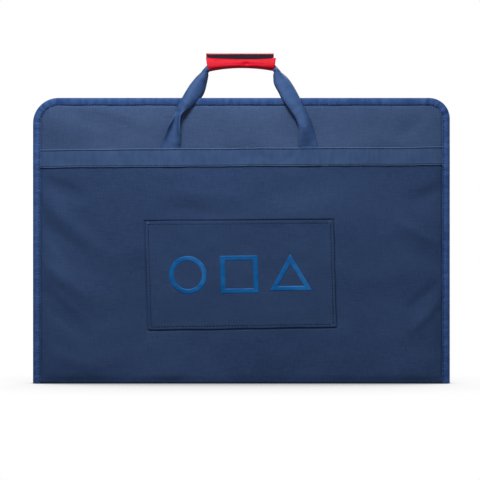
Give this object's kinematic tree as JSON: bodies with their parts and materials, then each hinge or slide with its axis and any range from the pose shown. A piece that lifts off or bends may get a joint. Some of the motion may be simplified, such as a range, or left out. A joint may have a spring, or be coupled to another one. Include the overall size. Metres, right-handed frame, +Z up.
{
  "type": "portfolio case",
  "caption": "Flat zip-round cloth portfolio case for artwork, with bound edges, an outer pocket, webbing bands and twin webbing handles in a padded wrap.",
  "frame": {"origin": "middle of the underside of the base, on the surface that the case stands on", "axes": "+X along the width, +Y from the front (outer pocket) to the back, +Z up towards the handles"},
  "size_m": [0.684, 0.0388, 0.5446],
  "materials": {
    "base_cloth": "woven polyester, PVC backed",
    "zip_end_tabs": "woven webbing",
    "lower_cloth": "woven polyester, matte",
    "upper_cloth": "woven polyester, matte",
    "board": "plain sheet",
    "lining": "smooth woven lining",
    "binding": "grosgrain binding tape",
    "zip_tape": "woven zip tape",
    "zip_coil": "nylon coil",
    "webbing": "ribbed webbing",
    "pocket_cloth": "woven polyester, matte",
    "print": "screen print",
    "grip_cloth": "woven polyester",
    "grip_foam": "soft foam",
    "hook_and_loop": "hook and loop tape",
    "zip_metal": "satin nickel"
  },
  "bodies": {
    "bottom": {"bottom_gusset": "base_cloth", "zip_end_tab_left": "zip_end_tabs", "zip_end_tab_right": "zip_end_tabs"},
    "front": {"front_lower_panel": "lower_cloth", "front_upper_panel": "upper_cloth", "front_board": "board", "front_lining": "lining", "front_binding": "binding", "front_zip_tape": "zip_tape", "front_zip_coil": "zip_coil", "front_band": "webbing", "front_handle_anchors": "webbing", "front_pocket": "pocket_cloth", "pocket_print": "print"},
    "rear": {"rear_panel": "lower_cloth", "rear_board": "board", "rear_lining": "lining", "rear_binding": "binding", "rear_zip_tape": "zip_tape", "rear_zip_coil": "zip_coil", "rear_band": "webbing", "rear_handle_anchors": "webbing", "inner_pocket": "lining", "inner_pocket_binding": "binding"},
    "front_handle": {"front_handle": "webbing"},
    "rear_handle": {"rear_handle": "webbing", "grip_wrap_back": "grip_cloth", "grip_padding_back": "grip_foam", "grip_loop_strip": "hook_and_loop"},
    "grip_flap": {"grip_wrap_flap": "grip_cloth", "grip_padding_flap": "grip_foam", "grip_hook_strip": "hook_and_loop"},
    "slider_left": {"slider_left": "zip_metal"},
    "slider_right": {"slider_right": "zip_metal"},
    "pull_left": {"pull_left": "zip_metal"},
    "pull_right": {"pull_right": "zip_metal"}
  },
  "joints": [
    {"name": "front_open", "type": "hinge", "parent": "bottom", "child": "front", "pos_m": [0, -0.016, 0.0035], "axis": [1, 0, 0], "range_deg": [0, 90], "deforming": ["grip_wrap_flap", "grip_padding_flap", "grip_hook_strip"]},
    {"name": "rear_open", "type": "hinge", "parent": "bottom", "child": "rear", "pos_m": [0, 0.016, 0.0035], "axis": [-1, 0, 0], "range_deg": [0, 90]},
    {"name": "front_handle_fold", "type": "hinge", "parent": "front", "child": "front_handle", "pos_m": [0, -0.0186, 0.391], "axis": [1, 0, 0], "range_deg": [0, 155]},
    {"name": "rear_handle_fold", "type": "hinge", "parent": "rear", "child": "rear_handle", "pos_m": [0, 0.0186, 0.391], "axis": [-1, 0, 0], "range_deg": [0, 155]},
    {"name": "grip_flap_open", "type": "hinge", "parent": "rear_handle", "child": "grip_flap", "pos_m": [0, 0, 0.5139], "axis": [1, 0, 0], "range_deg": [0, 120]},
    {"name": "slider_left_run", "type": "slide", "parent": "rear", "child": "slider_left", "axis": [-1, 0, 0], "range_m": [0, 0.28]},
    {"name": "slider_right_run", "type": "slide", "parent": "rear", "child": "slider_right", "axis": [1, 0, 0], "range_m": [0, 0.28]},
    {"name": "pull_left_lift", "type": "hinge", "parent": "slider_left", "child": "pull_left", "pos_m": [-0.0055, 0, 0.4634], "axis": [0, 1, 0], "range_deg": [0, 90]},
    {"name": "pull_right_lift", "type": "hinge", "parent": "slider_right", "child": "pull_right", "pos_m": [0.0055, 0, 0.4634], "axis": [0, -1, 0], "range_deg": [0, 90]}
  ]
}
